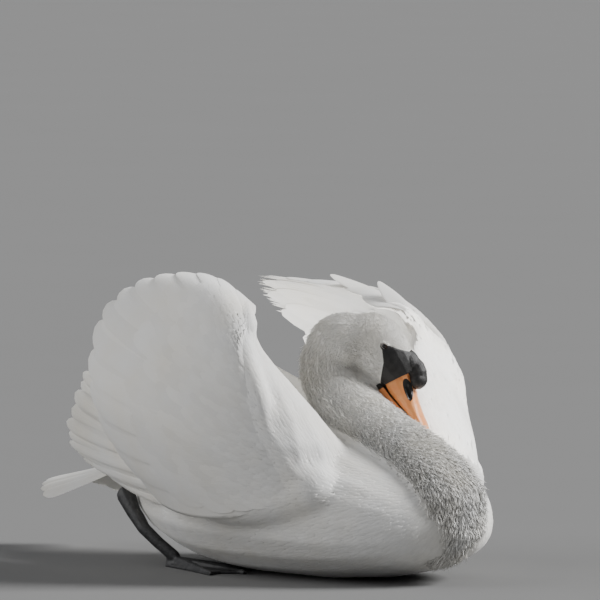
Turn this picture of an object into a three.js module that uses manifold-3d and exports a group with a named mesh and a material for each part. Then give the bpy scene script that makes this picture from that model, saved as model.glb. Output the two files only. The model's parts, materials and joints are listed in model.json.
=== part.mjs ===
// A life-size mute swan in its threat display: it sits on its belly, wings arched over the back,
// neck laid back between them and the bill turned down against the left of the neck.
// Millimetres, +Z up. The bird faces -Y and its left side is +X. The origin is the middle of the
// flat under the belly. Every piece is its own closed mesh, parted from its neighbours by a gap.
import * as THREE from "three";
import { mergeVertices } from "three/addons/utils/BufferGeometryUtils.js";
import Module from "manifold-3d";

const wasm = await Module();
wasm.setup();

// Driving dimensions.
const gap = 0.35; // between pieces that touch
const draught = 75; // height of the line the bird floats at, above the belly's flat
const at = (x, y, above) => new THREE.Vector3(x, y, draught + above);

// ---------------------------------------------------------------- small tools

function solid(geometry) {
  const bare = new THREE.BufferGeometry();
  bare.setAttribute("position", geometry.getAttribute("position"));
  if (geometry.index) bare.setIndex(geometry.index);
  const merged = mergeVertices(bare, 1e-3);
  return new wasm.Manifold(
    new wasm.Mesh({
      numProp: 3,
      vertProperties: new Float32Array(merged.attributes.position.array),
      triVerts: new Uint32Array(merged.index.array),
    }),
  );
}

function geometryOf(manifold) {
  const mesh = manifold.getMesh();
  const geometry = new THREE.BufferGeometry();
  geometry.setAttribute("position", new THREE.BufferAttribute(mesh.vertProperties, 3));
  geometry.setIndex(new THREE.BufferAttribute(mesh.triVerts, 1));
  return geometry;
}

// A closed body through rings of points, with a fan of faces over each end.
function loft(rings) {
  const sides = rings[0].length;
  const sum = (ring) => ring.reduce((total, p) => total.add(p), new THREE.Vector3());
  const centre = (ring) => sum(ring).divideScalar(sides);
  const points = [...rings.flat(), centre(rings[0]), centre(rings.at(-1))];
  const first = rings.length * sides;
  const faces = [];
  for (let j = 0; j < sides; j++) {
    const k = (j + 1) % sides;
    for (let i = 0; i + 1 < rings.length; i++) {
      const [a, b, c, d] = [i * sides + j, i * sides + k, (i + 1) * sides + j, (i + 1) * sides + k];
      faces.push(a, b, d, a, d, c);
    }
    const end = (rings.length - 1) * sides;
    faces.push(first, k, j, first + 1, end + j, end + k);
  }
  const geometry = new THREE.BufferGeometry().setFromPoints(points);
  geometry.setIndex(faces);
  const made = solid(geometry);
  return made.volume() < 0 ? solid(turned(geometry)) : made;
}

function turned(geometry) {
  const index = geometry.index.array;
  for (let i = 0; i < index.length; i += 3) [index[i + 1], index[i + 2]] = [index[i + 2], index[i + 1]];
  return geometry;
}

// A smooth curve through a few points, as a function from 0 to 1.
function through(points) {
  const curve = new THREE.CatmullRomCurve3(points, false, "catmullrom", 0.5);
  return (t) => curve.getPoint(THREE.MathUtils.clamp(t, 0, 1));
}

// The same for plain numbers, evenly spaced.
function graded(values) {
  const curve = through(values.map((v) => new THREE.Vector3(v, 0, 0)));
  return (t) => curve(t).x;
}

// A curved plate between an outer skin and the skin that lies its thickness inside it.
function plate(outer, thickness, rows, columns, grow) {
  const step = 1e-3;
  const normal = (u, v) => {
    const along = outer(Math.min(u + step, 1), v).sub(outer(Math.max(u - step, 0), v));
    const across = outer(u, Math.min(v + step, 1)).sub(outer(u, Math.max(v - step, 0)));
    return along.cross(across).normalize();
  };
  const rings = [];
  for (let j = 0; j <= columns; j++) {
    const v = j / columns;
    const top = [];
    const under = [];
    for (let i = 0; i <= rows; i++) {
      const u = i / rows;
      const p = outer(u, v);
      const n = normal(u, v);
      top.push(p.clone().addScaledVector(n, grow));
      under.unshift(p.addScaledVector(n, -thickness(u) - grow));
    }
    rings.push([...top, ...under]);
  }
  return loft(rings);
}

function ellipsoid(centre, radii, grow, detail = 24) {
  const geometry = new THREE.SphereGeometry(1, detail, detail / 2);
  geometry.scale(radii[0] + grow, radii[1] + grow, radii[2] + grow);
  geometry.translate(centre.x, centre.y, centre.z);
  return closedSphere(geometry);
}

function closedSphere(geometry) {
  geometry.deleteAttribute("normal");
  geometry.deleteAttribute("uv");
  const merged = mergeVertices(geometry, 1e-3);
  const index = [...merged.index.array];
  const kept = [];
  for (let i = 0; i < index.length; i += 3) {
    const [a, b, c] = index.slice(i, i + 3);
    if (a !== b && b !== c && c !== a) kept.push(a, b, c);
  }
  merged.setIndex(kept);
  return solid(merged);
}

// A round limb along a curve, rounded off at both ends.
function limb(path, radius, steps, sides, grow) {
  const rings = [];
  const ends = [0.5, 0.87];
  const spots = [];
  const place = (t) => {
    const ahead = path(Math.min(t + 0.01, 1));
    const tangent = ahead.sub(path(Math.max(t - 0.01, 0))).normalize();
    return { centre: path(t), tangent, r: radius(t) + grow };
  };
  const cap = (t, e, way) => {
    const { centre, tangent, r } = place(t);
    return { centre: centre.addScaledVector(tangent, way * Math.sqrt(1 - e * e) * r), tangent, r: e * r };
  };
  for (const e of ends) spots.push(cap(0, e, -1));
  for (let i = 0; i <= steps; i++) spots.push(place(i / steps));
  for (const e of [...ends].reverse()) spots.push(cap(1, e, 1));
  const side = new THREE.Vector3(1, 0, 0);
  for (const { centre, tangent, r } of spots) {
    side.addScaledVector(tangent, -side.dot(tangent)).normalize();
    const up = new THREE.Vector3().crossVectors(tangent, side);
    const ring = [];
    for (let j = 0; j < sides; j++) {
      const a = (j / sides) * 2 * Math.PI;
      const p = centre.clone().addScaledVector(side, Math.cos(a) * r);
      ring.push(p.addScaledVector(up, Math.sin(a) * r));
    }
    rings.push(ring);
  }
  return loft(rings);
}

function box(size, centre, turn = new THREE.Quaternion()) {
  const geometry = new THREE.BoxGeometry(size[0], size[1], size[2]);
  geometry.deleteAttribute("normal");
  geometry.deleteAttribute("uv");
  geometry.applyQuaternion(turn);
  geometry.translate(centre.x, centre.y, centre.z);
  return solid(geometry);
}

const bend = (value, power) => Math.sign(value) * Math.abs(value) ** power;

// ---------------------------------------------------------------- trunk

const trunkShape = {
  front: -300,
  rear: 335,
  halfWidth: 168,
  back: 212, // top of the back
  keel: -6, // the belly's lowest line before it is cut flat at 0
  noseHeight: 80,
  stern: 98, // height of the tail's root
};

function trunkBody(grow) {
  const s = trunkShape;
  const rings = [];
  const steps = 22;
  for (let i = 1; i < steps; i++) {
    const turn = Math.PI * (i / steps);
    const y = (s.front + s.rear) / 2 - (Math.cos(turn) * (s.rear - s.front)) / 2;
    const fore = y < 0;
    const t = fore ? y / s.front : y / s.rear;
    const half = s.halfWidth * (fore ? (1 - t ** 2.4) ** 0.55 : 1 - t ** 2.2);
    const end = fore ? s.noseHeight : s.stern;
    const top = end + (s.back - end) * (fore ? (1 - t ** 1.7) ** 0.7 : (1 - t ** 2) ** 0.8);
    const bottom = end - (end - s.keel) * (fore ? (1 - t ** 3) ** 0.5 : (1 - t ** 2) ** 0.9);
    const middle = THREE.MathUtils.lerp(bottom, top, 0.46);
    const ring = [];
    const sides = 20;
    for (let j = 0; j < sides; j++) {
      const a = (j / sides) * 2 * Math.PI;
      const reach = Math.sin(a) > 0 ? top - middle : middle - bottom;
      const x = bend(Math.cos(a), 2 / 2.3) * (half + grow);
      const z = middle + bend(Math.sin(a), 2 / 2.3) * (reach + grow);
      ring.push(new THREE.Vector3(x, y, Math.max(z, -grow)));
    }
    rings.push(ring);
  }
  return loft(rings);
}

// ---------------------------------------------------------------- neck

// Each row holds x, y and height of the neck's middle, and its radius there.
const neckLine = [
  [0, -185, -8, 50],
  [0, -240, -4, 54],
  [0, -264, 22, 51],
  [0, -243, 53, 46],
  [-6, -200, 81, 43],
  [-12, -146, 112, 40],
  [-15, -96, 142, 38],
  [-15, -58, 171, 35.5],
  [-11, -49, 199, 35],
  [-4, -64, 223, 38],
];
const neckPath = through(neckLine.map(([x, y, above]) => at(x, y, above)));
const neckRadius = graded(neckLine.map((row) => row[3]));
const neckTube = (grow) => limb(neckPath, neckRadius, 16, 16, grow);

// ---------------------------------------------------------------- head

// The head's own frame: forward is from the eyes to the bill's tip, up is the crown.
const headAt = at(28, -123, 217);
const headTurn = THREE.MathUtils.degToRad(33); // to the bird's left
const headTilt = THREE.MathUtils.degToRad(62.6); // below level
const level = new THREE.Vector3(Math.sin(headTurn), -Math.cos(headTurn), 0);
const ahead = level.clone().multiplyScalar(Math.cos(headTilt)).setZ(-Math.sin(headTilt));
const leftward = new THREE.Vector3(0, 0, 1).cross(level);
const crownward = new THREE.Vector3().crossVectors(ahead, leftward);
const headFrame = new THREE.Matrix4().makeBasis(ahead, leftward, crownward).setPosition(headAt);
const inHead = (f, l, g) => new THREE.Vector3(f, l, g).applyMatrix4(headFrame);

// Lofts sections that stand across the head's own forward axis.
function headLoft(stations, grow, power = 2, sides = 20) {
  return loft(
    stations.map(({ f, top, bottom, half }) => {
      const ring = [];
      for (let j = 0; j < sides; j++) {
        const a = (j / sides) * 2 * Math.PI;
        const l = bend(Math.cos(a), 2 / power) * (half + grow);
        const g = (top + bottom) / 2 + bend(Math.sin(a), 2 / power) * ((top - bottom) / 2 + grow);
        ring.push(inHead(f, l, g));
      }
      return ring;
    }),
  );
}

const skull = { back: -51, front: 42, crown: 26.8, throat: -50, half: 28.5 };

function skullBody(grow) {
  const stations = [];
  const steps = 10;
  for (let i = 0; i <= steps; i++) {
    const turn = Math.PI * (0.06 + (0.94 - 0.06) * (i / steps));
    const t = -Math.cos(turn); // -1 at the back of the skull, 1 at the bill
    const f = (skull.back + skull.front) / 2 + (t * (skull.front - skull.back)) / 2;
    const behind = Math.max(0, -t);
    const before = Math.max(0, t);
    stations.push({
      f: f + (t < 0 ? -grow : grow) * Math.abs(t),
      top: skull.crown * (1 - 0.95 * behind ** 2.2) - 5 * before ** 3,
      bottom: skull.throat * (1 - 0.55 * behind ** 2.4) + 17 * before ** 1.6,
      half: skull.half * Math.sqrt(1 - 0.92 * behind ** 2.4) * (1 - 0.3 * before ** 1.7),
    });
  }
  return headLoft(stations, grow);
}

const napeBody = (grow) => ellipsoid(at(-1, -70, 223), [38, 41, 39.5], grow, 14);

// The bare black skin between eye and bill is a wedge of the head that opens forward from the eyes.
function maskWedge(grow) {
  const outline = [
    [-7 - grow, 1],
    [22, 28 + grow],
    [60, 52 + grow],
    [60, -46 - grow],
    [38, -28 - grow],
    [16, -8.5 - grow],
  ];
  const reach = 60;
  return loft([-reach, reach].map((l) => outline.map(([f, g]) => inHead(f, l, g))));
}

// ---------------------------------------------------------------- bill, knob and eyes

const billLength = 127; // from the eyes to the tip

const upperBill = (grow) =>
  headLoft(
    [
      { f: 35, top: 15, bottom: -27.5, half: 19.5 },
      { f: 50, top: 10.5, bottom: -25.5, half: 18.4 },
      { f: 64, top: 6, bottom: -22.5, half: 17 },
      { f: 80, top: 2.8, bottom: -18, half: 16.2 },
      { f: 95, top: 0.6, bottom: -13.5, half: 16.6 },
      { f: 108, top: -0.4, bottom: -9.8, half: 15.4 },
      { f: 117, top: -1.4, bottom: -7.8, half: 12 },
      { f: 123, top: -2.6, bottom: -8.6, half: 7.5 },
      { f: billLength, top: -5, bottom: -9, half: 3.5 },
    ].map((row) => ({ ...row, f: row.f + (row.f < 36 ? -grow : 0) + (row.f === billLength ? grow : 0) })),
    grow,
    2.5,
    16,
  );

const lowerBill = (grow) =>
  headLoft(
    [
      { f: 36, top: -24, bottom: -37, half: 15.5 },
      { f: 56, top: -21, bottom: -33.5, half: 15 },
      { f: 78, top: -15, bottom: -26.5, half: 14.2 },
      { f: 98, top: -9.5, bottom: -19.5, half: 13.6 },
      { f: 110, top: -7, bottom: -15.5, half: 11.5 },
      { f: 119, top: -7, bottom: -12.5, half: 7 },
    ].map((row) => ({ ...row, f: row.f + (row.f < 37 ? -grow : 0) + (row.f === 119 ? grow : 0) })),
    grow,
    2.4,
    12,
  );

const knob = { f: 45, g: 17.5, length: 21.5, half: 11.5, height: 14, droop: 14 };

function knobBody(grow) {
  const geometry = new THREE.SphereGeometry(1, 12, 8);
  geometry.scale(knob.length + grow, knob.half + grow, knob.height + grow);
  geometry.rotateY(THREE.MathUtils.degToRad(knob.droop));
  geometry.translate(knob.f, 0, knob.g);
  geometry.applyMatrix4(headFrame);
  return closedSphere(geometry);
}

const eye = { f: -3, g: 2.2, radius: 7, out: 20.4 };

function eyeBody(side, grow) {
  const geometry = new THREE.SphereGeometry(eye.radius + grow, 10, 8);
  geometry.translate(eye.f, side * eye.out, eye.g);
  geometry.applyMatrix4(headFrame);
  return closedSphere(geometry);
}

// ---------------------------------------------------------------- wings

// Each wing stands as a fan: its quills are rooted on the forearm, which climbs from the wrist low
// at the breast to the elbow, and their tips run round from the flank over the back to the elbow.
const wings = {
  right: { side: -1, dip: 0 },
  left: { side: 1, dip: 20 }, // the left wing's top line sags by this much behind the elbow
};
const quills = 10; // rounded tips round the edge of a fan

const wingPoint = (wing) => (x, y, above, sag = 0) => at(wing.side * x, y, above - wing.dip * sag);

function fanCurves(wing) {
  const p = wingPoint(wing);
  return {
    root: through([
      p(150, -172, 38),
      p(163, -148, 80),
      p(174, -122, 125),
      p(180, -105, 172),
      p(168, -76, 222),
      p(146, -58, 252),
    ]),
    tip: through([
      p(165, 112, 22),
      p(192, 172, 95),
      p(198, 204, 175),
      p(150, 235, 250),
      p(112, 212, 290, 0.1),
      p(106, 135, 307, 1),
      p(103, 55, 304, 0.7),
      p(100, -12, 272, 0.3),
    ]),
    swell: through([
      new THREE.Vector3(wing.side * 70, 0, -52),
      new THREE.Vector3(wing.side * 96, 0, -12),
      new THREE.Vector3(wing.side * 92, 0, 26),
      new THREE.Vector3(wing.side * 50, 0, 52),
      new THREE.Vector3(wing.side * 6, -16, 16),
    ]),
  };
}

const lobe = (fraction) => Math.sqrt(Math.max(0, 1 - (2 * fraction - 1) ** 2));

// A point on the bowed line of quill v, u of the way from its root to its tip. The line stops
// short between two quills, which scallops the edge that the tips make.
function quillPoint({ root, tip, swell }, count, scallop) {
  return (u, v) => {
    const within = (v * count) % 1 || (v === 0 ? 0 : 1);
    const t = u * (1 - scallop * (1 - lobe(within)));
    const from = root(v);
    const to = tip(v);
    const middle = from.clone().lerp(to, 0.5).add(swell(v));
    from.multiplyScalar((1 - t) ** 2);
    return from.addScaledVector(middle, 2 * t * (1 - t)).addScaledVector(to, t * t);
  };
}

function fanBody(wing, grow) {
  const curves = fanCurves(wing);
  const thickness = (u) => 30 - 25 * u ** 0.6;
  const edged = quillPoint(curves, quills, 0.055);
  const smooth = quillPoint(curves, quills, 0);
  return featherPlate(edged, smooth, wing.side, thickness, 4, quills * 3, grow);
}

// A plate whose edge is scalloped, with its normals taken from the smooth skin below the scallops.
function featherPlate(outer, smooth, side, thickness, rows, columns, grow) {
  const step = 1e-3;
  const rings = [];
  for (let j = 0; j <= columns; j++) {
    const v = j / columns;
    const top = [];
    const under = [];
    for (let i = 0; i <= rows; i++) {
      const u = i / rows;
      const [a, b] = [THREE.MathUtils.clamp(u, 0.05, 0.95), THREE.MathUtils.clamp(v, 0.06, 0.94)];
      const along = smooth(a + step, b).sub(smooth(a - step, b));
      const across = smooth(a, b + step).sub(smooth(a, b - step));
      const n = across.clone().cross(along).normalize().multiplyScalar(-side);
      const p = outer(u, v);
      p.addScaledVector(along.normalize(), i === 0 ? -grow : i === rows ? grow : 0);
      p.addScaledVector(across.normalize(), j === 0 ? -grow : j === columns ? grow : 0);
      top.push(p.clone().addScaledVector(n, grow));
      under.unshift(p.addScaledVector(n, -thickness(u) - grow));
    }
    rings.push([...top, ...under]);
  }
  return loft(rings);
}

function primaryBody(wing, grow) {
  const p = wingPoint(wing);
  const root = through([p(160, 20, 8), p(172, 40, 60), p(172, 60, 112)]);
  const tip = through([
    p(126, 222, 28),
    p(116, 297, 50),
    p(114, 336, 73),
    p(118, 338, 104),
    p(134, 300, 148),
    p(152, 262, 178),
  ]);
  const blades = 6;
  const curves = { root, tip, swell: () => new THREE.Vector3(wing.side * 16, 0, -14) };
  const edged = quillPoint(curves, blades, 0.09);
  const smooth = quillPoint(curves, blades, 0);
  return featherPlate(edged, smooth, wing.side, (u) => 11 - 7 * u, 2, blades * 4, grow);
}

// The upper arm and the feathers draped over it, from the shoulder up to the elbow.
function armBody(wing, grow) {
  const p = wingPoint(wing);
  const centre = through([
    p(96, -140, 10),
    p(112, -125, 80),
    p(126, -92, 145),
    p(143, -62, 200),
    p(147, -54, 238),
  ]);
  const long = graded([80, 62, 40, 24, 10]);
  const thick = graded([50, 40, 28, 18, 8]);
  const outwards = through([
    new THREE.Vector3(wing.side * 0.88, 0.47, 0),
    new THREE.Vector3(wing.side * 0.97, 0.15, 0),
    new THREE.Vector3(wing.side * 0.97, -0.2, 0),
    new THREE.Vector3(wing.side * 0.95, -0.3, 0),
    new THREE.Vector3(wing.side * 0.94, -0.33, 0),
  ]);
  const rings = [];
  const steps = 7;
  for (let i = 0; i <= steps; i++) {
    const t = i / steps;
    const tangent = centre(Math.min(t + 0.01, 1)).sub(centre(Math.max(t - 0.01, 0))).normalize();
    const out = outwards(t).normalize();
    const across = new THREE.Vector3().crossVectors(tangent, out).normalize();
    const ring = [];
    const sides = 12;
    for (let j = 0; j < sides; j++) {
      const a = (j / sides) * 2 * Math.PI;
      ring.push(
        centre(t)
          .addScaledVector(out, bend(Math.cos(a), 0.86) * (long(t) + grow))
          .addScaledVector(across, bend(Math.sin(a), 0.86) * (thick(t) + grow)),
      );
    }
    rings.push(ring);
  }
  return loft(rings);
}

// ---------------------------------------------------------------- tail

const tailShape = { rootY: 268, length: 230, spread: 21, feathers: 9 };

function tailBody(grow) {
  const s = tailShape;
  const outer = (u, v) => {
    const w = 2 * v - 1;
    const angle = THREE.MathUtils.degToRad(s.spread * w);
    const lobed = 1 - 0.06 * (1 - lobe((v * s.feathers) % 1 || (v === 0 ? 0 : 1)));
    const reach = 20 + (s.length - 20) * u * (1 - 0.22 * Math.abs(w) ** 1.6) * lobed;
    const x = Math.sin(angle) * reach + 26 * w * (1 - u);
    const height = 46 - 27 * u - 12 * w * w * (0.4 + 0.6 * u);
    return at(x, s.rootY + Math.cos(angle) * reach, height);
  };
  return plate(outer, (u) => 16 - 12 * u ** 0.7, 3, s.feathers * 2, grow);
}

// ---------------------------------------------------------------- legs and feet

const legShape = {
  ankle: [110, 228, 88],
  shank: [113, 190, 48],
  knuckle: [98, 148, 14],
  toe: 128,
  spread: 21, // degrees between two toes
};

function legBody(side, grow) {
  const { ankle, shank, knuckle } = legShape;
  const path = through([ankle, shank, knuckle].map(([x, y, z]) => new THREE.Vector3(side * x, y, z)));
  return limb(path, graded([12.5, 8.5, 8]), 4, 10, grow);
}

// Three forward toes with a web between them, in one flat foot that is thickest along the toes.
function footBody(side, grow) {
  const { knuckle, toe, spread } = legShape;
  const tip = (turn, length) => {
    const a = THREE.MathUtils.degToRad(turn);
    return [side * (knuckle[0] + Math.sin(a) * length), knuckle[1] - 6 - Math.cos(a) * length];
  };
  const heel = [side * knuckle[0], knuckle[1] + 4];
  const toes = [tip(-spread, toe * 0.8), tip(0, toe), tip(spread, toe * 0.92)];
  const web = [tip(-spread / 2, toe * 0.78), tip(spread / 2, toe * 0.84)];
  const inner = [heel[0] - side * 8, heel[1]];
  const outer = [heel[0] + side * 8, heel[1]];
  const outline = [inner, toes[0], web[0], toes[1], web[1], toes[2], outer];
  const layer = (z) => outline.map(([x, y]) => new THREE.Vector3(x, y, z));
  const section = (x, y, half, high) => {
    const [base, crest] = [half + grow, half * 0.6 + grow];
    const profile = [[-base, -grow], [base, -grow], [crest, high + grow], [-crest, high + grow]];
    return profile.map(([across, z]) => new THREE.Vector3(x + across, y, z));
  };
  const joint = [section(heel[0], heel[1] + 6, 8, 14), section(heel[0], heel[1] - 12, 8, 14)];
  const ridges = toes.map(([x, y]) => loft([...joint, section(x, y - 4, 4, 5.5)]));
  return ridges.reduce((foot, ridge) => foot.add(ridge), loft([layer(-grow), layer(4 + grow)]));
}

// ---------------------------------------------------------------- joining and parting

const group = new THREE.Group();

function add(name, manifold, colour, roughness) {
  const bodies = manifold.decompose().sort((a, b) => b.volume() - a.volume());
  const material = new THREE.MeshStandardMaterial({ color: colour, roughness, metalness: 0 });
  const mesh = new THREE.Mesh(geometryOf(bodies[0].simplify(0.06)), material);
  mesh.name = name;
  group.add(mesh);
}

const plumage = [0xf4f2ee, 0.85];
const bareBlack = [0x1d1c1c, 0.5];
const billOrange = [0xd8703a, 0.45];

const trunkCut = trunkBody(3 * gap);
const skullWhole = skullBody(0).add(napeBody(0));
const skullCut = skullBody(gap).add(napeBody(gap));
const neckCut = neckTube(gap);

const knobWhole = knobBody(0).subtract(upperBill(gap));
const mask = skullBody(0)
  .intersect(maskWedge(0))
  .subtract(upperBill(gap))
  .subtract(lowerBill(gap))
  .subtract(knobBody(gap));
const eyes = { left: eyeBody(1, 0), right: eyeBody(-1, 0) };
const eyesCut = eyeBody(1, gap).add(eyeBody(-1, gap));
const billsCut = upperBill(gap).add(lowerBill(gap)).add(knobBody(gap));

add("head", skullWhole.subtract(maskWedge(gap)).subtract(billsCut).subtract(eyesCut), ...plumage);
add("face_mask", mask.subtract(eyesCut), ...bareBlack);
add("knob", knobWhole, ...bareBlack);
add("bill_lower", lowerBill(0).subtract(upperBill(gap)), ...billOrange);
add("bill_upper", upperBill(0), ...billOrange);
add("eye_left", eyes.left, 0x1a120c, 0.15);
add("eye_right", eyes.right, 0x1a120c, 0.15);

// The neck is one limb, parted across its length into three.
const neckWhole = neckTube(0).subtract(skullCut).subtract(billsCut).subtract(trunkCut);
const across = (t) => {
  const tangent = neckPath(t + 0.01).sub(neckPath(t - 0.01)).normalize();
  const turn = new THREE.Quaternion().setFromUnitVectors(new THREE.Vector3(0, 0, 1), tangent);
  return box([200, 200, gap], neckPath(t), turn);
};
const lengths = neckWhole
  .subtract(across(0.4))
  .subtract(across(0.66))
  .decompose()
  .filter((piece) => piece.volume() > 5000)
  .sort((a, b) => a.boundingBox().min[2] - b.boundingBox().min[2]);
["neck_lower", "neck_middle", "neck_upper"].forEach((name, i) => add(name, lengths[i], ...plumage));

add("trunk", trunkBody(0).subtract(footBody(1, gap)).subtract(footBody(-1, gap)), ...plumage);
const tail = tailBody(0).subtract(trunkCut);
add("tail", tail, ...plumage);

for (const [name, wing] of Object.entries(wings)) {
  const fanCut = fanBody(wing, 2 * gap);
  const primaries = primaryBody(wing, 0).subtract(fanCut).subtract(trunkCut);
  const arm = armBody(wing, 0).subtract(fanCut).subtract(trunkCut);
  const leg = legBody(wing.side, 0).subtract(trunkCut).subtract(footBody(wing.side, gap));
  add(`wing_${name}_fan`, fanBody(wing, 0).subtract(trunkCut), ...plumage);
  add(`wing_${name}_primaries`, primaries, ...plumage);
  add(`wing_${name}_arm`, arm.subtract(neckCut).subtract(skullCut).subtract(billsCut), ...plumage);
  add(`leg_${name}`, leg, ...bareBlack);
  add(`foot_${name}`, footBody(wing.side, 0), ...bareBlack);
}

export default group;
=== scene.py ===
import bpy, bmesh, json, math
import numpy as np
from mathutils import Vector, Matrix
from mathutils.bvhtree import BVHTree
from mathutils.kdtree import KDTree

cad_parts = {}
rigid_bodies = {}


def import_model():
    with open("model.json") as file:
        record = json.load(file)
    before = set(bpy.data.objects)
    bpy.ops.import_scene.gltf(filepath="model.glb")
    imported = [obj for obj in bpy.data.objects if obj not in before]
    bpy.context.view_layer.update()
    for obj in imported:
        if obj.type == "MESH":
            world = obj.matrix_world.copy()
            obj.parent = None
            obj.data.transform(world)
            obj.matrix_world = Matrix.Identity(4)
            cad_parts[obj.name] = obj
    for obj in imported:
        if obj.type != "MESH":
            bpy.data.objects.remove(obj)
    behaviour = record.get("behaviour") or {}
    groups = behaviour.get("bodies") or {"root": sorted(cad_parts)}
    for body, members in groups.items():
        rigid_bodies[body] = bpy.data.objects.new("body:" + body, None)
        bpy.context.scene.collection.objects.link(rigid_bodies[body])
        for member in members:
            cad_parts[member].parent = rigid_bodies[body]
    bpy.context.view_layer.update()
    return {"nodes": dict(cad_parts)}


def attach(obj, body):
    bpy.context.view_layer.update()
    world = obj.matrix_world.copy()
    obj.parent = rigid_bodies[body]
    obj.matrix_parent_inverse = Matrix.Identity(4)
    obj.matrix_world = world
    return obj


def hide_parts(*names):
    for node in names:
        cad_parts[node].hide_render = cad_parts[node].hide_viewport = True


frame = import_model()
nodes = frame["nodes"]
water = 0.075  # the line the bird floats at, above the floor


def unit(v):
    v = np.asarray(v, float)
    return v / np.maximum(np.linalg.norm(v, axis=-1, keepdims=True), 1e-12)


def smooth(low, high, x):
    t = np.clip((np.asarray(x, float) - low) / (high - low), 0, 1)
    return t * t * (3 - 2 * t)


def mm(rows):
    return np.array(rows, float) / 1000 + [0, 0, water]


# a smooth curve through a few points, read from 0 to 1
def curveThrough(points):
    p = np.asarray(points, float)
    p = np.vstack([2 * p[0] - p[1], p, 2 * p[-1] - p[-2]])

    def at(t):
        t = np.clip(np.asarray(t, float), 0, 1) * (len(p) - 3)
        i = np.minimum(t.astype(int), len(p) - 4)
        w = (t - i)[..., None]
        a, b, c, d = p[i], p[i + 1], p[i + 2], p[i + 3]
        square, cube = 2 * a - 5 * b + 4 * c - d, 3 * b - a - 3 * c + d
        return 0.5 * (2 * b + (c - a) * w + square * w**2 + cube * w**3)

    return at


def newObject(name, data, material=None, body="root"):
    obj = bpy.data.objects.new(name, data)
    bpy.context.scene.collection.objects.link(obj)
    if material:
        data.materials.append(material)
    if body:
        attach(obj, body)
    return obj


def meshFrom(bm, name):
    mesh = bpy.data.meshes.new(name)
    bm.to_mesh(mesh)
    bm.free()
    return mesh


def shadeSmooth(mesh):
    mesh.polygons.foreach_set("use_smooth", np.ones(len(mesh.polygons), bool))


# empties one bmesh into another
def pourInto(bm, other):
    held = meshFrom(other, "held")
    bm.from_mesh(held)
    bpy.data.meshes.remove(held)


# one bmesh from copies of CAD nodes, their loose triangles merged
def copyOf(names):
    bm = bmesh.new()
    for name in names:
        part = bmesh.new()
        part.from_mesh(nodes[name].data)
        bmesh.ops.remove_doubles(part, verts=part.verts, dist=1e-5)
        pourInto(bm, part)
    return bm


# voxel remesh and smoothing, applied
def remeshed(bm, name, look):
    mesh = meshFrom(bm, "held")
    obj = newObject("held", mesh, body=None)
    grid = obj.modifiers.new("grid", "REMESH")
    grid.mode = "VOXEL"
    grid.voxel_size = look["voxel"]
    soft = obj.modifiers.new("soft", "SMOOTH")
    soft.factor = 0.5
    soft.iterations = look["passes"]
    made = bpy.data.meshes.new_from_object(obj.evaluated_get(bpy.context.evaluated_depsgraph_get()))
    made.name = name
    bpy.data.objects.remove(obj)
    bpy.data.meshes.remove(mesh)
    made.materials.clear()
    shadeSmooth(made)
    return made


def readAll(data, field, width, kind=float):
    values = np.zeros(len(data) * width, kind)
    data.foreach_get(field, values)
    return values.reshape(-1, width)


def readCo(mesh):
    return readAll(mesh.vertices, "co", 3)


def readShape(mesh):
    return readCo(mesh), readAll(mesh.vertex_normals, "vector", 3)


def writeCo(mesh, co):
    mesh.vertices.foreach_set("co", np.ascontiguousarray(co, np.float32).ravel())
    mesh.update()


def trianglesOf(mesh):
    mesh.calc_loop_triangles()
    return [readAll(mesh.loop_triangles, field, 3, np.int32) for field in ("vertices", "loops")]


def nearestTree(points):
    tree = KDTree(len(points))
    for i, p in enumerate(points.tolist()):
        tree.insert(p, i)
    tree.balance()
    return tree


def setAttribute(mesh, name, values, kind="FLOAT"):
    layer = mesh.attributes.new(name, kind, "POINT")
    field = "vector" if kind == "FLOAT_VECTOR" else "value"
    layer.data.foreach_set(field, np.ascontiguousarray(values, np.float32).ravel())


head = {"at": mm([28, -123, 217]), "turn": 33, "tilt": 62.6}
turn, tilt = math.radians(head["turn"]), math.radians(head["tilt"])
level = np.array([math.sin(turn), -math.cos(turn), 0])
ahead = level * math.cos(tilt) + np.array([0, 0, -math.sin(tilt)])
leftward = np.cross([0, 0, 1], level)
crownward = np.cross(ahead, leftward)
headAxes = np.array([ahead, leftward, crownward])
turnHead = Matrix(headAxes.tolist()).transposed().to_4x4()


def toHead(p):
    return (np.asarray(p) - head["at"]) @ headAxes.T


def fromHead(q):
    return np.asarray(q) @ headAxes + head["at"]


# an ellipsoid along the head's axes; at in metres, radii in millimetres
def addEllipsoid(bm, at, radii):
    spot = Matrix.Translation(Vector(fromHead(at))) @ turnHead @ Matrix.Diagonal((*radii, 1))
    bmesh.ops.create_uvsphere(bm, u_segments=32, v_segments=20, radius=0.001, matrix=spot)


# the neck's middle, from the breast over the nape and through the head to the bill
neckLine = mm([
    [0, -185, -8], [0, -240, -4], [0, -264, 22], [0, -243, 53], [-6, -200, 81],
    [-12, -146, 112], [-15, -96, 142], [-15, -58, 171], [-11, -49, 199], [-2, -62, 226],
    [10, -90, 240], [22, -112, 230], [33, -131, 205], [44, -148, 165],
])
neckSamples = curveThrough(neckLine)(np.linspace(0, 1, 260))
neckTangents = -unit(np.gradient(neckSamples, axis=0))  # towards the body
neckTree = nearestTree(neckSamples)

# the far wing's top is lower, by dip along its edge and by sink over its ridge
wings = {"right": {"side": -1, "dip": 0.0, "sink": 0.0}, "left": {"side": 1, "dip": 20.0, "sink": 0.009}}


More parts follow.
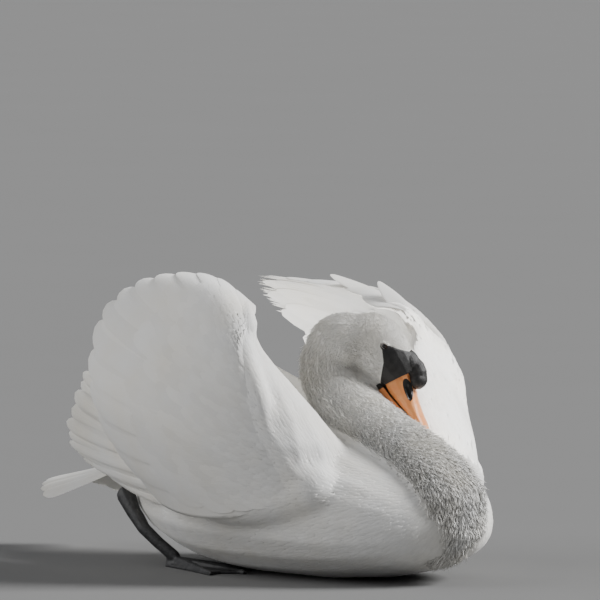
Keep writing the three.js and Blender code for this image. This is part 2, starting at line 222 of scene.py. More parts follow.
def fanCurves(wing):
    side, dip = wing["side"], wing["dip"]
    root = mm([
        [150, -172, 38], [163, -148, 80], [174, -122, 125],
        [180, -105, 172], [168, -76, 222], [146, -58, 252],
    ])
    tip = mm([
        [165, 112, 22], [192, 172, 95], [198, 204, 175], [150, 235, 250],
        [112, 212, 290 - 0.1 * dip], [106, 135, 307 - dip],
        [103, 55, 304 - 0.7 * dip], [100, -12, 272 - 0.3 * dip],
    ])
    swell = np.array([[70, 0, -52], [96, 0, -12], [92, 0, 26], [50, 0, 52], [6, -16, 16]]) / 1000
    return [curveThrough(line * [side, 1, 1]) for line in (root, tip, swell)]


def primaryCurves(wing):
    root = mm([[160, 20, 8], [172, 40, 60], [172, 60, 112]])
    tip = mm([
        [126, 222, 28], [116, 297, 50], [114, 336, 73],
        [118, 338, 104], [134, 300, 148], [152, 262, 178],
    ])
    swell = np.array([[16, 0, -14], [16, 0, -14]]) / 1000
    return [curveThrough(line * [wing["side"], 1, 1]) for line in (root, tip, swell)]


# the bowed skin that quills lie in: u runs from root to tip, v from quill to quill
def quillSheet(curves, side, sink=0.0):
    root, tip, swell = curves

    def flat(u, v):
        u = np.asarray(u, float)[..., None]
        a, c = root(v), tip(v)
        b = (a + c) / 2 + swell(v)
        return a * (1 - u) ** 2 + b * 2 * u * (1 - u) + c * u * u

    def normal(u, v):
        e = 1e-3
        u, v = np.clip(u, 0.05, 0.95), np.clip(v, 0.06, 0.94)
        along = flat(u + e, v) - flat(u - e, v)
        across = flat(u, v + e) - flat(u, v - e)
        return -side * unit(np.cross(across, along))

    def place(u, v):
        lower = sink * smooth(0.7, 0.84, v) * np.ones(np.shape(u))
        return flat(u, v) - normal(u, v) * lower[..., None]

    return place, normal


fans = {name: quillSheet(fanCurves(wing), wing["side"], wing["sink"]) for name, wing in wings.items()}
primaries = {name: quillSheet(primaryCurves(wing), wing["side"]) for name, wing in wings.items()}


def fanDepth(u):
    return (30 - 25 * np.asarray(u, float) ** 0.6) / 1000


# the skin lies under the plumage, deeper in the body and fans than in the face
skinLook = {
    "voxel": 0.0039, "passes": 8, "depth": 0.0026, "faceDepth": 0.0011, "fanDepth": 0.0042,
    "edgeDepth": 0.0034, "fanReach": 0.66, "bridge": 0.0007, "thinShare": 0.42, "stump": 0.345,
    "stumpMiddle": 0.1185, "stumpShare": 0.3,
}

flesh = ["head", "neck_lower", "neck_middle", "neck_upper", "trunk", "wing_right_arm", "wing_left_arm"]
skinBm = copyOf(flesh + ["face_mask"])  # the black skin lies over it
tailBm = copyOf(["tail"])
bmesh.ops.bisect_plane(tailBm, geom=tailBm.verts[:] + tailBm.edges[:] + tailBm.faces[:],
                       plane_co=(0, skinLook["stump"], 0), plane_no=(0, 1, 0), clear_outer=True)
bmesh.ops.holes_fill(tailBm, edges=[e for e in tailBm.edges if e.is_boundary])
for v in tailBm.verts:
    if v.co.y > skinLook["stump"] - 0.001:  # the stump thins out towards the tail feathers
        middle = skinLook["stumpMiddle"] - 0.01 * (v.co.x / 0.047) ** 2
        v.co.z = middle + (v.co.z - middle) * skinLook["stumpShare"]
pourInto(skinBm, tailBm)
bmesh.ops.recalc_face_normals(skinBm, faces=skinBm.faces)
for v in skinBm.verts:
    v.co += v.normal * skinLook["bridge"]  # closes the gaps between the parts
# rolls along flank, front edge, forearm and ridge: steps, then both ends' u, v, radius and height
rolls = [
    (14, (0.02, 0.5), (0.03, 0.03), (0.042, 0.036), (0.0035, -0.001)),
    (26, (0.03, 0.02), (0.12, 0.93), (0.0155, 0.0135), (-0.001, -0.001)),
    (16, (0.15, 0.15), (0.12, 0.62), (0.0165, 0.012), (-0.002, -0.002)),
    (12, (0.08, 0.92), (0.965, 0.965), (0.0145, 0.0055), (0.0035, 0.002)),
]
ball = bmesh.new()
bmesh.ops.create_uvsphere(ball, u_segments=20, v_segments=12, radius=1)
ball.verts.index_update()
ballCo = np.array([v.co for v in ball.verts])
ballFaces = [[v.index for v in f.verts] for f in ball.faces]
ball.free()
rollCo, rollFaces = [], []
for place, normal in fans.values():
    for steps, *ends in rolls:
        for t in np.linspace(0, 1, steps):
            u, v, radius, over = (a + (b - a) * t for a, b in ends)
            first = len(rollCo) * len(ballCo)
            rollCo.append(ballCo * radius + place(u, v) + normal(u, v) * (over - radius))
            rollFaces += [[first + k for k in face] for face in ballFaces]
held = bpy.data.meshes.new("held")
held.from_pydata(np.vstack(rollCo).tolist(), [], rollFaces)
skinBm.from_mesh(held)
bpy.data.meshes.remove(held)
for place, normal in fans.values():
    slab = bmesh.new()
    bmesh.ops.create_grid(slab, x_segments=18, y_segments=40, size=1)
    flat = bmesh.ops.extrude_face_region(slab, geom=slab.faces[:], use_keep_orig=True)
    lower = {v for v in flat["geom"] if isinstance(v, bmesh.types.BMVert)}
    for v in slab.verts:
        u, w = (v.co.x + 1) / 2 * skinLook["fanReach"], (v.co.y + 1) / 2 * 0.97 + 0.015
        sunk = skinLook["edgeDepth"] + (skinLook["fanDepth"] - skinLook["edgeDepth"]) * smooth(0.04, 0.25, u)
        sunk -= skinLook["depth"]
        deep = fanDepth(u) - sunk if v in lower else sunk
        v.co = Vector(place(u, w) - normal(u, w) * deep)
    bmesh.ops.recalc_face_normals(slab, faces=slab.faces)
    pourInto(skinBm, slab)
eyeLook = {
    "f": -0.003, "g": 0.0022, "out": 0.0204, "radius": 0.007, "long": 0.0052, "high": 0.0029, "slant": 32,
    "rim": 0.0006, "rimOut": 0.0076, "bed": 0.0077, "lid": 0.0081, "back": 0.0004,
}


def eyeAt(side, inward=0.0):
    return np.array([eyeLook["f"], side * (eyeLook["out"] - inward), eyeLook["g"]])


def fromEye(q):
    return np.hypot(q[..., 0] - eyeLook["f"], q[..., 2] - eyeLook["g"])


for side in (1, -1):
    spot = Matrix.Translation(Vector(fromHead(eyeAt(side))))
    bmesh.ops.create_uvsphere(skinBm, u_segments=24, v_segments=16, radius=eyeLook["bed"], matrix=spot)
addEllipsoid(skinBm, [-0.0235, 0.002, -0.024], (34.5, 30.5, 34.5))  # the rounded back of the head
addEllipsoid(skinBm, [0.0355, 0, -0.0375], (14, 13.5, 10))  # the chin, full under the gape
skinMesh = remeshed(skinBm, "skin", skinLook)

co, no = readShape(skinMesh)
tree = BVHTree.FromPolygons(co.tolist(), [tuple(p.vertices) for p in skinMesh.polygons])
fromFace = np.linalg.norm(co - fromHead([0.01, 0, -0.01]), axis=1)
depth = skinLook["faceDepth"] + (skinLook["depth"] - skinLook["faceDepth"]) * smooth(0.045, 0.1, fromFace)
for i in range(len(co)):
    if abs(co[i, 0]) > 0.07 and co[i, 2] > 0.1:  # thin parts give way less
        hit = tree.ray_cast(Vector(co[i] - no[i] * 0.0005), Vector(-no[i]), 0.04)
        if hit[0] is not None:
            depth[i] = min(depth[i], skinLook["thinShare"] * hit[3])
writeCo(skinMesh, co - no * depth[:, None])


# distance from an eye's middle, 1 at the edge of the lids' opening
def eyeEdge(q):
    a = math.radians(eyeLook["slant"])
    x, y = q[..., 0] - eyeLook["f"], q[..., 2] - eyeLook["g"]
    along, over = x * math.cos(a) + y * math.sin(a), y * math.cos(a) - x * math.sin(a)
    return np.sqrt((along / eyeLook["long"]) ** 2 + (over / eyeLook["high"]) ** 2)


# finer faces round the eyes, then the lids drawn over them
bm = bmesh.new()
bm.from_mesh(skinMesh)
for ring in (0.024, 0.015):
    near = []
    for e in bm.edges:
        q = toHead(np.array((e.verts[0].co + e.verts[1].co) / 2))
        if abs(q[1]) > 0.009 and fromEye(q) < ring and e.verts[0].co.z > 0.2:
            near.append(e)
    bmesh.ops.subdivide_edges(bm, edges=near, cuts=1, use_grid_fill=True, smooth=0.6)
bmesh.ops.triangulate(bm, faces=[f for f in bm.faces if len(f.verts) > 4])
bm.to_mesh(skinMesh)
bm.free()
shadeSmooth(skinMesh)
q = toHead(readCo(skinMesh))
for side in (1, -1):
    eye = eyeAt(side)
    away = q - eye
    reach = np.linalg.norm(away, axis=1)
    edge = eyeEdge(q)
    near = (reach < 0.016) & (away[:, 1] * side > -0.002)
    lidded = np.interp(edge, [0, 0.75, 0.98, 1.1, 1.6, 2.4], [0.0056, 0.006, 0.0071, 0.00765, 0.0077, 0.0078])
    hold = smooth(2.9, 1.7, edge) * smooth(0.015, 0.011, reach)
    radial = reach + (np.where(edge < 1.6, lidded, np.minimum(reach, lidded + 0.001)) - reach) * hold
    q[near] = (eye + away / np.maximum(reach, 1e-6)[:, None] * radial[:, None])[near]
writeCo(skinMesh, fromHead(q))
print("skin", len(skinMesh.polygons), "faces")

skin = newObject("skin", skinMesh)
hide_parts(*flesh, "wing_right_fan", "wing_left_fan")

bpy.context.view_layer.objects.active = skin
skin.select_set(True)
bpy.ops.object.mode_set(mode="EDIT")
bpy.ops.mesh.select_all(action="SELECT")
bpy.ops.uv.smart_project(angle_limit=math.radians(66), island_margin=0.002)
bpy.ops.object.mode_set(mode="OBJECT")
skinMesh.uv_layers[0].name = "OFBake"
print("skin unwrapped")

skinCo, skinNo = readShape(skinMesh)
skinTris, skinLoops = trianglesOf(skinMesh)
skinTree = BVHTree.FromPolygons(skinCo.tolist(), skinTris.tolist())
skinUv = readAll(skinMesh.uv_layers["OFBake"].uv, "vector", 2)[skinLoops]
triCo = skinCo[skinTris]
triCentre = triCo.mean(1)
triArea = np.linalg.norm(np.cross(triCo[:, 1] - triCo[:, 0], triCo[:, 2] - triCo[:, 0]), axis=1) / 2

# which part each bit of skin belongs to
owners = flesh + ["face_mask", "tail", "wing_right_fan", "wing_left_fan"]
ownCo, ownTris, ownIds = [], [], []
for k, name in enumerate(owners):
    ownTris += (trianglesOf(nodes[name].data)[0] + len(ownCo)).tolist()
    ownCo += readCo(nodes[name].data).tolist()
    ownIds += [k] * (len(ownTris) - len(ownIds))
ownTree = BVHTree.FromPolygons(ownCo, ownTris)
triOwner = np.array([ownIds[ownTree.find_nearest(Vector(p))[2]] for p in triCentre])

# the fans' own u and v over their two faces
sheetU, sheetV = [a.ravel() for a in np.meshgrid(np.linspace(0, 1, 70), np.linspace(0, 1, 90), indexing="ij")]
fanTrees = {}
for name, (place, normal) in fans.items():
    base, up = place(sheetU, sheetV), normal(sheetU, sheetV)
    fanTrees[name] = nearestTree(np.vstack([base, base - up * fanDepth(sheetU)[:, None]]))


def fanPlace(name, points):
    found = np.array([fanTrees[name].find(p)[1] for p in points.tolist()]) % len(sheetU)
    return sheetU[found], sheetV[found]


# a closed blade with a pointed end: s runs across it, h up, t from root to tip
def bladeTemplate(sides, stations, crisp=True):
    bm = bmesh.new()
    bmesh.ops.create_cone(bm, cap_ends=True, segments=sides, radius1=1, radius2=1, depth=1)
    long = [e for e in bm.edges if abs(e.verts[0].co.z - e.verts[1].co.z) > 0.5]
    bmesh.ops.subdivide_edges(bm, edges=long, cuts=stations - 2)
    for v in bm.verts:
        if v.co.z > 0.49:
            v.co.x = v.co.y = 0
    bmesh.ops.remove_doubles(bm, verts=bm.verts, dist=1e-4)
    bmesh.ops.recalc_face_normals(bm, faces=bm.faces)
    bm.verts.index_update()
    co = np.array([v.co for v in bm.verts])
    faces = [[v.index for v in f.verts] for f in bm.faces]
    pairs = np.array([[v.index for v in e.verts] for e in bm.edges])
    bm.free()
    t = 1 - (1 - np.clip(co[:, 2] + 0.5, 0, 1)) ** 1.35  # closer rings towards the tip
    s, h = (co[:, 1], co[:, 0]) if sides % 2 == 0 else (co[:, 0], co[:, 1])
    rim = (np.abs(s) > 0.99 * np.abs(s).max()) | (t > 0.999)
    sharp = np.zeros((len(co), len(co)), bool)
    for a, b in pairs:
        sharp[a, b] = sharp[b, a] = crisp and rim[a] and rim[b] and s[a] * s[b] > -0.5
    return {"s": s, "h": h, "t": t, "faces": faces, "sharp": sharp}


# copies of one template as one mesh, with a bake patch at each root
def joinBlades(name, points, template, uv, across, along, local, material):
    count, per = points.shape[:2]
    faces = template["faces"]
    a, b, c = (points[:300, [f[k] for f in faces]] for k in range(3))
    middle = points[:300].mean(1, keepdims=True)
    if np.einsum("ijk,ijk->", np.cross(b - a, c - a), a - middle) < 0:
        faces = [f[::-1] for f in faces]
    sizes = [len(f) for f in faces]
    flat = np.array([i for f in faces for i in f])
    loops = np.add.outer(np.arange(count) * per, flat).ravel()
    starts = np.add.outer(np.arange(count) * sum(sizes), np.cumsum([0] + sizes[:-1])).ravel()
    mesh = bpy.data.meshes.new(name)
    mesh.vertices.add(count * per)
    mesh.loops.add(len(loops))
    mesh.polygons.add(count * len(sizes))
    mesh.vertices.foreach_set("co", points.astype(np.float32).ravel())
    mesh.loops.foreach_set("vertex_index", loops.astype(np.int32))
    mesh.polygons.foreach_set("loop_start", starts.astype(np.int32))
    shadeSmooth(mesh)
    mesh.update(calc_edges=True)
    ends = readAll(mesh.edges, "vertices", 2, np.int32) % per
    layer = mesh.attributes.new("sharp_edge", "BOOLEAN", "EDGE")
    layer.data.foreach_set("value", template["sharp"][ends[:, 0], ends[:, 1]])
    s, h, t = template["s"], template["h"], template["t"]
    patch = np.stack([s * 0.0011 + h * 0.0003, (t - 0.5) * 0.0028], 1)
    spots = np.clip(uv, 0.002, 0.998)[:, None] + patch
    layer = mesh.uv_layers.new(name="OFBake")
    layer.uv.foreach_set("vector", spots.reshape(-1, 2)[loops].astype(np.float32).ravel())
    barbs = np.stack(np.broadcast_arrays(across, along, local.random((count, 1)) * 10), -1)
    setAttribute(mesh, "tone", np.repeat(local.random(count), per))
    setAttribute(mesh, "barb", barbs, "FLOAT_VECTOR")
    obj = newObject(name, mesh, material)
    print(name, count, "feathers,", (sum(sizes) - 2 * len(sizes)) * count, "triangles")
    return obj


# even random roots on the chosen skin triangles
def scatter(chosen, look, seed):
    local = np.random.default_rng(seed)
    ids = np.nonzero(chosen)[0]
    gap = look["spacing"]
    share = triArea[ids] / (gap * gap)
    tries = int(share.sum() * 2.4)
    pick = local.choice(len(ids), tries, p=share / share.sum())
    a, b = local.random(tries), local.random(tries)
    fold = a + b > 1
    a[fold], b[fold] = 1 - a[fold], 1 - b[fold]
    weights = np.stack([1 - a - b, a, b], 1)
    tri = ids[pick]
    at = (skinCo[skinTris[tri]] * weights[..., None]).sum(1)
    tree = nearestTree(at)
    gone = np.zeros(tries, bool)
    kept = []
    for i, p in enumerate(at.tolist()):
        if not gone[i]:
            kept.append(i)
            for _, j, _ in tree.find_range(p, gap * 0.84):
                gone[j] = True
    tri, weights, at = tri[kept], weights[kept], at[kept]
    normal = unit((skinNo[skinTris[tri]] * weights[..., None]).sum(1))
    uv = (skinUv[tri] * weights[..., None]).sum(1)
    return {"at": at, "normal": normal, "uv": uv}


def subset(roots, keep):
    return {k: v[keep] for k, v in roots.items()}


def neckFlow(points):
    return neckTangents[[neckTree.find(p)[1] for p in points.tolist()]]


def bodyFlow(points):
    base = np.array([0, -0.245, 0.15])
    near = smooth(0.22, 0.06, np.linalg.norm(points - base, axis=1))[:, None]
    return unit(np.array([0, 1.0, -0.1]) + 0.8 * unit(points - base) * near)


# back along a fan's feathers and up towards its ridge
def fanFlow(name, points):
    u, v = fanPlace(name, points)
    place, _ = fans[name]
    e = 0.02
    back = place(np.clip(u + e, 0, 1), v) - place(np.clip(u - e, 0, 1), v)
    rise = place(u, np.clip(v + e, 0, 1)) - place(u, np.clip(v - e, 0, 1))
    return unit(unit(back) + 0.6 * unit(rise))


def tuftOutline(t):
    return np.where(t < 0.7, 0.6 + 0.5 * t, 0.95) * (1 - t) ** 0.5


def contourOutline(t):
    return (0.75 + 0.35 * t) * np.clip(1 - t**2.6, 0, 1) ** 0.6


def vaneOutline(t):
    return np.minimum(1, 0.4 + 1.5 * t) * np.sqrt(np.clip(1 - np.clip((t - 0.5) / 0.5, 0, 1) ** 2.2, 0, 1))


# feathers rooted on the skin, each laid along the flow and bent to the surface
def layCoat(name, roots, flow, look, template, seed):
    local = np.random.default_rng(seed)
    n = len(roots["at"])
    size = np.array(roots.get("size", np.ones(n)))
    normal = roots["normal"]
    flow = unit(flow + local.normal(0, look["stray"], (n, 3)))
    flow = unit(flow - normal * (flow * normal).sum(1, keepdims=True))
    side = np.cross(normal, flow)
    long = look["length"] * size * np.clip(1 + local.normal(0, 0.16, n), 0.6, 1.5)
    wide = look["width"] / 2 * size * np.clip(1 + local.normal(0, 0.12, n), 0.7, 1.4)
    s, h, t = template["s"], template["h"], template["t"]
    outline = look["outline"](t)
    across = s * outline * wide[:, None] + (t**2) * (local.normal(0, look["bend"], n) * long)[:, None]
    points = roots["at"][:, None] + flow[:, None] * (t * long[:, None])[..., None]
    points = points + side[:, None] * across[..., None]
    base, up = points.copy().reshape(-1, 3), np.repeat(normal, len(t), 0)
    reach = np.repeat(0.6 * long + 0.004, len(t))
    for i, p in enumerate(base.tolist()):
        at, facing, _, _ = skinTree.find_nearest(p, reach[i])
        if at is not None and facing.dot(up[i]) > 0.2:
            base[i] = at
            up[i] = facing
    moved = np.linalg.norm(base.reshape(n, -1, 3) - points, axis=-1).max(1)
    turned = (up.reshape(n, -1, 3) * normal[:, None]).sum(-1).min(1)
    keep = (moved < 0.3 * long + 0.001) & (turned > look.get("turned", 0.45))
    n = int(keep.sum())
    roots, long, across, size = subset(roots, keep), long[keep], across[keep], size[keep]
    base, up = base.reshape(len(keep), -1, 3)[keep], up.reshape(len(keep), -1, 3)[keep]
    raised = roots.get("raised", np.ones(n)) * np.clip(1 + local.normal(0, look["ruffle"], n), 0.3, 2.2)
    height = look["root"] + (look["tip"] - look["root"]) * t ** look["rise"] * raised[:, None]
    height = height + look.get("arch", 0) * 4 * t * (1 - t) * raised[:, None]
    height = height + (h * outline * look["thick"] + look["camber"] * (1 - s**2) * outline) * size[:, None]
    points = base + up * height[..., None]
    points[..., 2] = np.maximum(points[..., 2], 0.0004)
    joinBlades(name, points, template, roots["uv"], across, t * long[:, None], local, downWhite)


def newMaterial(name):
    made = bpy.data.materials.new(name)
    made.use_nodes = True
    return made, made.node_tree.nodes["Principled BSDF"]


# links a socket, or sets a number or colour on the node's own socket
def setInputs(made, node, inputs):
    for key, value in inputs.items():
        if isinstance(value, bpy.types.NodeSocket):
            made.node_tree.links.new(value, node.inputs[key])
        else:
            node.inputs[key].default_value = value


def addNode(made, kind, settings, inputs):
    node = made.node_tree.nodes.new("ShaderNode" + kind)
    for key, value in settings.items():
        setattr(node, key, value)
    setInputs(made, node, inputs)
    return node.outputs


def mathNode(made, operation, *values):
    return addNode(made, "Math", {"operation": operation}, dict(enumerate(values)))[0]


def times(made, first, second):
    return mathNode(made, "MULTIPLY", first, second)


def spread(made, value, low, high, fromLow=0.0, fromHigh=1.0):
    ends = {"From Min": fromLow, "From Max": fromHigh, "To Min": low, "To Max": high}
    return addNode(made, "MapRange", {}, {"Value": value, **ends})["Result"]


def mixColour(made, factor, first, second, blend="MIX"):
    settings = {"data_type": "RGBA", "blend_type": blend}
    return addNode(made, "Mix", settings, {0: factor, 6: first, 7: second})[2]


def noiseOn(made, vector, scale, detail=3.0):
    inputs = {"Vector": vector, "Scale": scale, "Detail": detail, "Roughness": 0.55}
    return addNode(made, "TexNoise", {}, inputs)["Fac"]


def bumpOn(made, strength, distance, height):
    return addNode(made, "Bump", {}, {"Strength": strength, "Distance": distance, "Height": height})[0]


def attribute(made, name, output="Fac"):
    return addNode(made, "Attribute", {"attribute_name": name}, {})[output]


def objectPlace(made):
    return addNode(made, "TexCoord", {}, {})["Object"]


plumageLook = {
    "white": (0.86, 0.855, 0.835, 1), "cream": (0.84, 0.81, 0.74, 1), "stain": (0.74, 0.62, 0.44, 1),
    "stainAmount": 0.1, "toneSpread": 0.05, "sheen": 0.25,
}


# white plumage; the barbs run out from each feather's shaft
def plumageMaterial(name, barbs, fluff, through):
    look = plumageLook
    made, shader = newMaterial(name)
    place = objectPlace(made)
    cloudy = noiseOn(made, place, 14, 4)
    white = mixColour(made, spread(made, cloudy, 0, 1, 0.35, 0.75), look["white"], look["cream"])
    crown = tuple(fromHead([0, 0, 0.01]))
    headward = addNode(made, "VectorMath", {"operation": "DISTANCE"}, {0: place, 1: crown})["Value"]
    headward = spread(made, headward, look["stainAmount"], 0, 0.03, 0.2)
    stained = times(made, headward, noiseOn(made, place, 40))
    white = mixColour(made, stained, white, look["stain"])
    shade = spread(made, attribute(made, "tone"), 1 - look["toneSpread"], 1 + look["toneSpread"] * 0.5)
    grey = addNode(made, "CombineColor", {}, {0: shade, 1: shade, 2: shade})[0]
    parts = addNode(made, "SeparateXYZ", {}, {0: attribute(made, "barb", "Vector")})
    out = mathNode(made, "ABSOLUTE", parts[0])
    slant = mathNode(made, "SUBTRACT", parts[1], times(made, out, 0.9))
    lines = addNode(made, "CombineXYZ", {}, {
        0: times(made, slant, 850.0), 1: times(made, out, 40.0), 2: parts[2],
    })
    barbed = noiseOn(made, lines[0], 1.0, 2.0)
    shaft = spread(made, out, 1, 0, 0.0, 0.0011)
    white = mixColour(made, 1.0, white, grey, "MULTIPLY")
    rough = spread(made, noiseOn(made, place, 60), 0.62, 0.84, 0.3, 0.7)
    soft = noiseOn(made, place, 420)
    high = mathNode(made, "ADD", times(made, barbed, barbs), times(made, soft, fluff))
    high = mathNode(made, "ADD", high, times(made, shaft, barbs * 0.5))
    bump = bumpOn(made, 0.5, 0.0006, high)
    setInputs(made, shader, {
        "Base Color": white, "Roughness": rough, "Normal": bump, "Sheen Weight": look["sheen"],
        "Sheen Roughness": 0.5, "Specular IOR Level": 0.25,
    })
    if through:  # daylight shows through thin vanes
        glow = addNode(made, "BsdfTranslucent", {}, {"Color": white, "Normal": bump})
        blend = addNode(made, "MixShader", {}, {0: through, 1: shader.outputs[0], 2: glow[0]})
        made.node_tree.links.new(blend[0], made.node_tree.get_output_node("ALL").inputs[0])
    return made


downWhite = plumageMaterial("down_white", 0.2, 0.5, 0)
covertWhite = plumageMaterial("covert_white", 0.4, 0.3, 0)
vaneWhite = plumageMaterial("vane_white", 0.5, 0.2, 0.25)

setAttribute(skinMesh, "tone", np.full(len(skinCo), 0.5))
setAttribute(skinMesh, "barb", np.zeros((len(skinCo), 3)), "FLOAT_VECTOR")
skinMesh.materials.append(downWhite)


# which skin is where
def owned(*names):
    return np.isin(triOwner, [owners.index(n) for n in names])


flankSkin = np.zeros(len(skinTris), bool)
edgeSkin = {}
for name, (place, normal) in fans.items():
    mine = np.nonzero(owned(f"wing_{name}_fan"))[0]
    u, v = fanPlace(name, triCentre[mine])
    over = ((triCentre[mine] - place(u, v)) * normal(u, v)).sum(1)
    flank = ((over > -0.0012) | (v < 0.015)) & (v < 0.3) & (u < 0.5)
    flankSkin[mine] = flank
    edgeSkin[name] = np.zeros(len(skinTris), bool)
    edgeSkin[name][mine] = ((u < 0.13) | (v > 0.9) & (u < 0.62)) & ~flank

# the bare face, bills and eyes keep clear of tufts
maskTop = np.array([[-7, 1], [22, 28], [60, 52]]) / 1000
maskBottom = np.array([[-7, 1], [16, -8.5], [38, -28], [60, -46]]) / 1000


def clearOfFace(points):
    q = toHead(points)
    f, l, g = q.T
    grow = 0.0006
    masked = (g < np.interp(f, *maskTop.T) + grow) & (g > np.interp(f, *maskBottom.T) - grow)
    masked &= f > maskTop[0, 0] - grow
    eyes = (np.abs(l) > 0.015) & (eyeEdge(q) < 1.25)
    return ~masked & ~eyes & (f < 0.036)


tuft = bladeTemplate(3, 3, crisp=False)

# head: short velvet
headLook = {
    "length": 0.0052, "width": 0.0016, "thick": 0.00022, "camber": 0.0002, "root": -0.0004, "tip": 0.0014,
    "rise": 1.0, "stray": 0.14, "bend": 0.05, "ruffle": 0.4, "outline": tuftOutline, "spacing": 0.00125,
}
roots = scatter(owned("head") & (toHead(triCentre)[:, 0] < 0.04), headLook, 1)
roots = subset(roots, clearOfFace(roots["at"]))
q = toHead(roots["at"])
roots["size"] = 0.6 + 0.5 * smooth(0.0, 0.045, np.linalg.norm(q - [0.01, 0, 0], axis=1) - 0.02)
roots["size"] *= 1 - 0.45 * smooth(0.013, 0.007, fromEye(q)) * (np.abs(q[:, 1]) > 0.012)
layCoat("coatHead", roots, neckFlow(roots["at"]), headLook, tuft, 21)

# neck: plush pointed locks, a little raised
neckLook = {
    "length": 0.013, "width": 0.0026, "thick": 0.0005, "camber": 0.0003, "root": -0.0006, "tip": 0.0041,
    "rise": 1.1, "stray": 0.2, "bend": 0.1, "ruffle": 0.45, "outline": tuftOutline, "spacing": 0.0018,
}
roots = scatter(owned("neck_upper", "neck_middle", "neck_lower"), neckLook, 2)
place = roots["at"]
fromSkull = np.linalg.norm(place - head["at"], axis=1)
roots["size"] = 0.75 + 0.45 * smooth(0.06, 0.3, fromSkull)
roots["raised"] = 0.4 + 0.7 * smooth(0.06, 0.15, fromSkull)
half = np.median(place[:, 2])
for name, keep in (("coatNeckUpper", place[:, 2] > half), ("coatNeckLower", place[:, 2] <= half)):
    part = subset(roots, keep)
    layCoat(name, part, neckFlow(part["at"]), neckLook, tuft, 22)

# trunk and shoulders: soft lapping locks
lock = bladeTemplate(3, 6)
bodyLook = {
    "length": 0.024, "width": 0.0078, "thick": 0.0003, "camber": 0.0001, "root": -0.0003, "tip": -0.0003,
    "rise": 1.0, "arch": 0.0005, "stray": 0.06, "bend": 0.04, "ruffle": 0.1, "outline": contourOutline,
    "turned": 0.75, "spacing": 0.0043, "rear": 0.318,
}
edgeLook = dict(bodyLook, length=0.018, width=0.0066, spacing=0.004)
roots = scatter(owned("trunk", "tail") | flankSkin, bodyLook, 3)
roots = subset(roots, (roots["at"][:, 2] > 0.003) & (roots["at"][:, 1] < bodyLook["rear"]))
place = roots["at"]
roots["size"] = 0.75 + 0.5 * smooth(-0.28, 0.1, place[:, 1])
for name, keep in (("coatBreast", place[:, 1] < 0), ("coatBack", place[:, 1] >= 0)):
    part = subset(roots, keep)
    layCoat(name, part, bodyFlow(part["at"]), bodyLook, lock, 23)

for name, wing in wings.items():
    roots = scatter(owned(f"wing_{name}_arm"), bodyLook, 4)
    flow = unit([0.05 * wing["side"], 0.75, 0.5])
    layCoat("coatShoulder" + name.title(), roots, flow, bodyLook, lock, 24)
    roots = scatter(edgeSkin[name], edgeLook, 5)
    layCoat("coatEdge" + name.title(), roots, fanFlow(name, roots["at"]), edgeLook, lock, 25)


# whether the skin covers this point
def buried(point):
    at, facing, _, _ = skinTree.find_nearest(Vector(point))
    return facing.dot(Vector(point) - at) < -0.0008


# how deep the skin lies under a fan's face
def skinUnder(sheet, u, v, inner):
    place, normal = sheet
    above = 0.02
    up = -normal(u, v) if inner else normal(u, v)
    at = place(u, v) + up * (above + inner * fanDepth(u))
    hit = skinTree.ray_cast(Vector(at), Vector(-up), 3 * above)
    return min(max(hit[3] - above, 0.0), 0.0055) if hit[0] is not None else 0.0


# long feathers laid on a bowed sheet; rows hold v, start, end, half width, depth at root and tip, tilt
def layOnSheet(name, sheet, rows, template, look, material, seed):
    place, normal = sheet
    if look.get("buried"):  # leaves out feathers whose tips the skin covers
        rows = [row for row in rows if not buried(place(row[2], row[0]) - normal(row[2], row[0]) * row[5])]
    local = np.random.default_rng(seed)
    v0, u0, u1, half, deepRoot, deepTip, tilt = np.array(rows, float).T
    s, h, t = template["s"], template["h"], template["t"]
    outline = look["outline"](t)
    u = u0[:, None] + (u1 - u0)[:, None] * t
    v = v0[:, None] + half[:, None] * outline * s
    base, up = place(u, np.clip(v, -0.01, 1.01)), normal(u, v)
    inner = look.get("inner", 0)
    deep = deepRoot[:, None] + (deepTip - deepRoot)[:, None] * t ** look["rise"]
    deep = deep + tilt[:, None] * s * outline * t
    deep = deep + inner * fanDepth(np.clip(u, 0, 1))
    height = -deep + look["camber"] * (1 - s**2) * outline + h * look["thick"] * outline
    points = base + up * height[..., None]
    shaft = place(u, np.broadcast_to(v0[:, None], u.shape))
    across = np.linalg.norm(place(u, v) - shaft, axis=-1) * np.sign(s)
    long = np.linalg.norm(place(u1, v0) - place(u0, v0), axis=-1)
    roots = place(np.clip(u0, 0.02, 0.75), v0)
    uv = np.array([skinUv[skinTree.find_nearest(p)[2]].mean(0) for p in roots.tolist()])
    return joinBlades(name, points, template, uv, across, t * long[:, None], local, material)


def quillOutline(t):
    return np.minimum(1, 0.25 + 2.2 * t) * np.sqrt(np.clip(1 - np.clip((t - 0.86) / 0.14, 0, 1) ** 2, 0, 1))


def fullOutline(t):
    return quillOutline(np.maximum(t, 0.35))


